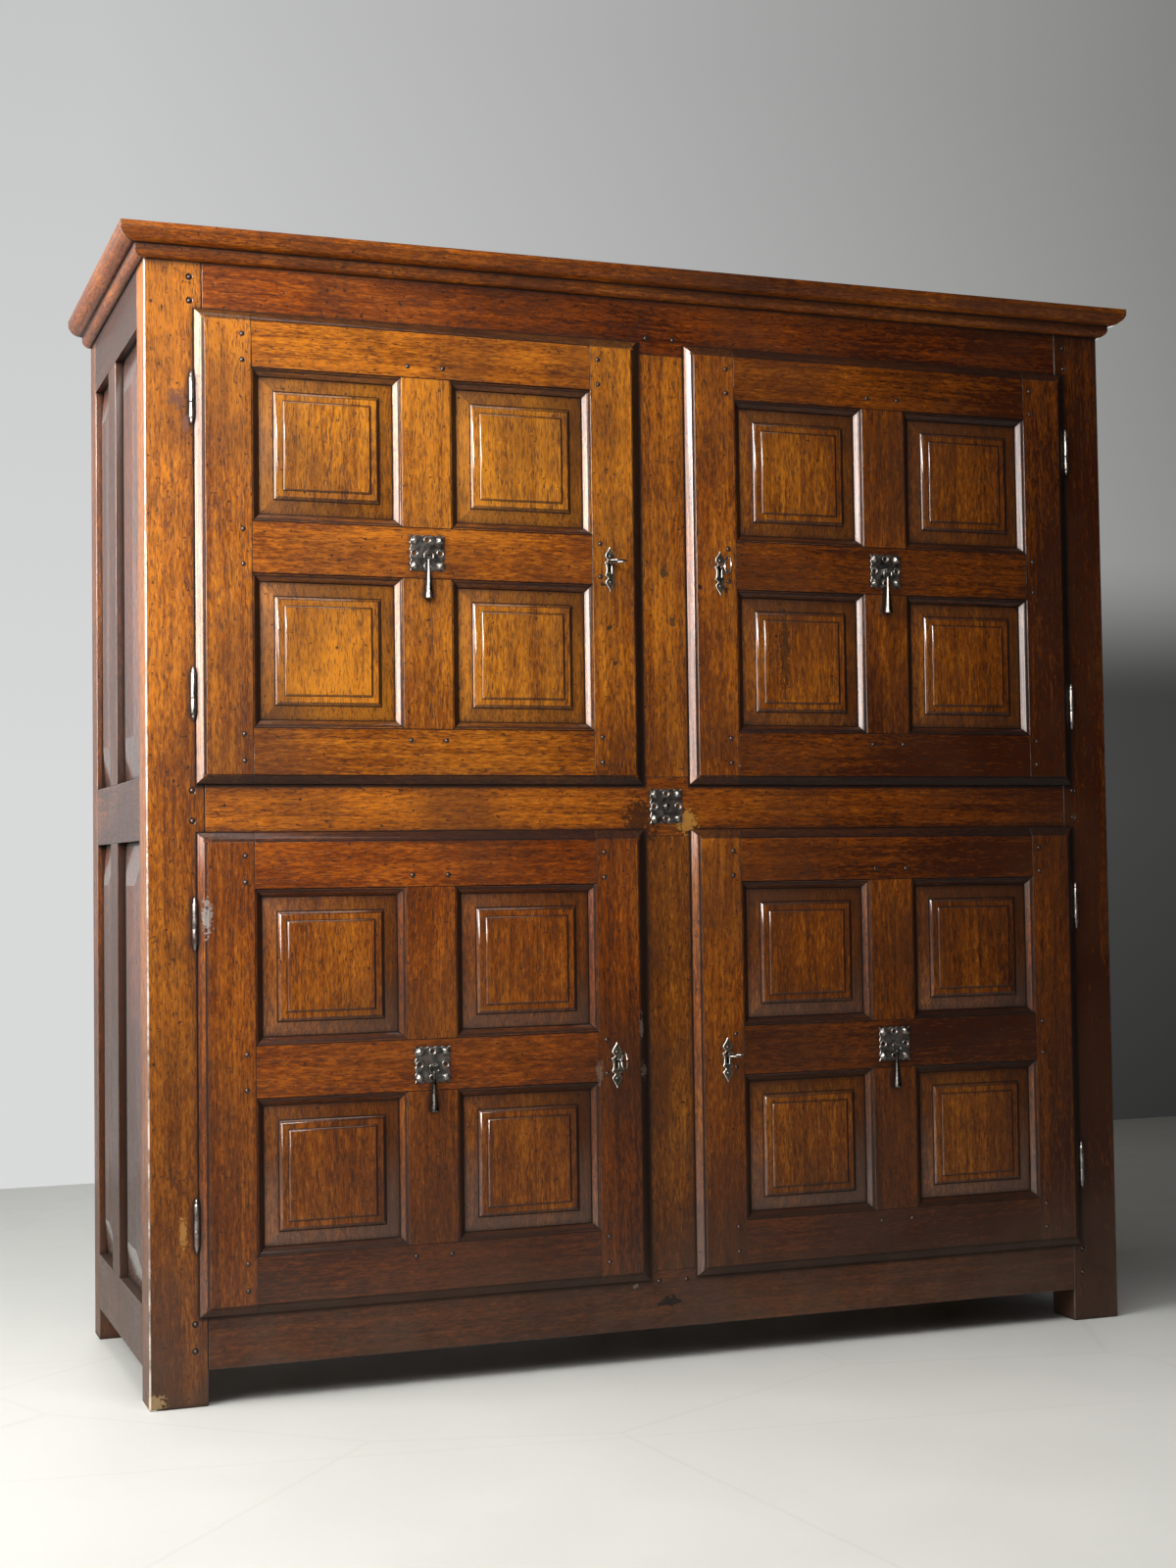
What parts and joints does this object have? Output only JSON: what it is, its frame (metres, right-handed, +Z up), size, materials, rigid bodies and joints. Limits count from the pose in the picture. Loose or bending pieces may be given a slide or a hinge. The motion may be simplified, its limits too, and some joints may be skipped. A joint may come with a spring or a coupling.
{
  "type": "four door panelled cupboard",
  "caption": "Tall joined wooden cupboard on post feet, with a moulded cornice and lipped panelled doors hung on pin hinges, each with a drop pull, a lock and a key.",
  "frame": {"origin": "on the floor, at the middle of the whole object's box in plan", "axes": "+X to the cupboard's right side as seen from the front, +Y towards its back, +Z up; the doors face -Y"},
  "size_m": [1.837, 0.688, 1.85],
  "materials": {
    "walnut": "old wax over dark walnut",
    "inner_wood": "unpolished sawn boards",
    "peg_wood": "dark end grain",
    "iron": "blackened forged iron",
    "worn_iron": "handled forged iron"
  },
  "bodies": {
    "carcass": {"front_posts": "walnut", "back_posts": "walnut", "front_rails": "walnut", "front_muntins": "walnut", "side_rails": "walnut", "side_muntins": "walnut", "side_panels": "walnut", "back_rails": "inner_wood", "back_boards": "inner_wood", "top_boards": "inner_wood", "deck_and_shelf_boards": "inner_wood", "shelf_bearers": "inner_wood", "cornice": "walnut", "frame_pegs": "peg_wood", "centre_rosette": "iron", "hinge_pintles": "iron"},
    "upper_left_door": {"upper_left_door_uprights": "walnut", "upper_left_door_rails": "walnut", "upper_left_door_panels": "walnut", "upper_left_door_pegs": "peg_wood", "upper_left_hinge_eyes": "iron", "upper_left_pull_plate": "iron", "upper_left_escutcheon": "iron", "upper_left_lock_case": "iron"},
    "upper_left_pull": {"upper_left_pull_drop": "iron"},
    "upper_left_key": {"upper_left_key": "worn_iron"},
    "upper_left_bolt": {"upper_left_lock_bolt": "worn_iron"},
    "upper_right_door": {"upper_right_door_uprights": "walnut", "upper_right_door_rails": "walnut", "upper_right_door_panels": "walnut", "upper_right_door_pegs": "peg_wood", "upper_right_hinge_eyes": "iron", "upper_right_pull_plate": "iron", "upper_right_escutcheon": "iron", "upper_right_lock_case": "iron"},
    "upper_right_pull": {"upper_right_pull_drop": "iron"},
    "upper_right_key": {"upper_right_key": "worn_iron"},
    "upper_right_bolt": {"upper_right_lock_bolt": "worn_iron"},
    "lower_left_door": {"lower_left_door_uprights": "walnut", "lower_left_door_rails": "walnut", "lower_left_door_panels": "walnut", "lower_left_door_pegs": "peg_wood", "lower_left_hinge_eyes": "iron", "lower_left_pull_plate": "iron", "lower_left_escutcheon": "iron", "lower_left_lock_case": "iron"},
    "lower_left_pull": {"lower_left_pull_drop": "iron"},
    "lower_left_key": {"lower_left_key": "worn_iron"},
    "lower_left_bolt": {"lower_left_lock_bolt": "worn_iron"},
    "lower_right_door": {"lower_right_door_uprights": "walnut", "lower_right_door_rails": "walnut", "lower_right_door_panels": "walnut", "lower_right_door_pegs": "peg_wood", "lower_right_hinge_eyes": "iron", "lower_right_pull_plate": "iron", "lower_right_escutcheon": "iron", "lower_right_lock_case": "iron"},
    "lower_right_pull": {"lower_right_pull_drop": "iron"},
    "lower_right_key": {"lower_right_key": "worn_iron"},
    "lower_right_bolt": {"lower_right_lock_bolt": "worn_iron"}
  },
  "joints": [
    {"name": "upper_left_door_hinge", "type": "hinge", "parent": "carcass", "child": "upper_left_door", "pos_m": [-0.80375, -0.286, 1.349], "axis": [0, 0, -1], "range_deg": [0, 115]},
    {"name": "upper_left_pull_swing", "type": "hinge", "parent": "upper_left_door", "child": "upper_left_pull", "pos_m": [-0.42125, -0.3035, 1.349], "axis": [-1, 0, 0], "range_deg": [0, 110]},
    {"name": "upper_left_key_turn", "type": "hinge", "parent": "upper_left_door", "child": "upper_left_key", "pos_m": [-0.10125, -0.294, 1.3435], "axis": [0, 1, 0], "range_deg": [0, 180]},
    {"name": "upper_left_bolt_slide", "type": "slide", "parent": "upper_left_door", "child": "upper_left_bolt", "axis": [1, 0, 0], "range_m": [0, 0.014]},
    {"name": "upper_right_door_hinge", "type": "hinge", "parent": "carcass", "child": "upper_right_door", "pos_m": [0.80375, -0.286, 1.349], "axis": [0, 0, 1], "range_deg": [0, 115]},
    {"name": "upper_right_pull_swing", "type": "hinge", "parent": "upper_right_door", "child": "upper_right_pull", "pos_m": [0.42125, -0.3035, 1.349], "axis": [-1, 0, 0], "range_deg": [0, 110]},
    {"name": "upper_right_key_turn", "type": "hinge", "parent": "upper_right_door", "child": "upper_right_key", "pos_m": [0.10125, -0.294, 1.3435], "axis": [0, -1, 0], "range_deg": [0, 180]},
    {"name": "upper_right_bolt_slide", "type": "slide", "parent": "upper_right_door", "child": "upper_right_bolt", "axis": [-1, 0, 0], "range_m": [0, 0.014]},
    {"name": "lower_left_door_hinge", "type": "hinge", "parent": "carcass", "child": "lower_left_door", "pos_m": [-0.80375, -0.286, 0.516], "axis": [0, 0, -1], "range_deg": [0, 115]},
    {"name": "lower_left_pull_swing", "type": "hinge", "parent": "lower_left_door", "child": "lower_left_pull", "pos_m": [-0.42125, -0.3035, 0.516], "axis": [-1, 0, 0], "range_deg": [0, 110]},
    {"name": "lower_left_key_turn", "type": "hinge", "parent": "lower_left_door", "child": "lower_left_key", "pos_m": [-0.10125, -0.294, 0.5105], "axis": [0, 1, 0], "range_deg": [0, 180]},
    {"name": "lower_left_bolt_slide", "type": "slide", "parent": "lower_left_door", "child": "lower_left_bolt", "axis": [1, 0, 0], "range_m": [0, 0.014]},
    {"name": "lower_right_door_hinge", "type": "hinge", "parent": "carcass", "child": "lower_right_door", "pos_m": [0.80375, -0.286, 0.516], "axis": [0, 0, 1], "range_deg": [0, 115]},
    {"name": "lower_right_pull_swing", "type": "hinge", "parent": "lower_right_door", "child": "lower_right_pull", "pos_m": [0.42125, -0.3035, 0.516], "axis": [-1, 0, 0], "range_deg": [0, 110]},
    {"name": "lower_right_key_turn", "type": "hinge", "parent": "lower_right_door", "child": "lower_right_key", "pos_m": [0.10125, -0.294, 0.5105], "axis": [0, -1, 0], "range_deg": [0, 180]},
    {"name": "lower_right_bolt_slide", "type": "slide", "parent": "lower_right_door", "child": "lower_right_bolt", "axis": [-1, 0, 0], "range_m": [0, 0.014]}
  ],
  "couplings": [
    {"joint": "upper_left_key_turn", "follows": "upper_left_bolt_slide", "rad_per_m": 224.4},
    {"joint": "upper_right_key_turn", "follows": "upper_right_bolt_slide", "rad_per_m": 224.4},
    {"joint": "lower_left_key_turn", "follows": "lower_left_bolt_slide", "rad_per_m": 224.4},
    {"joint": "lower_right_key_turn", "follows": "lower_right_bolt_slide", "rad_per_m": 224.4}
  ]
}
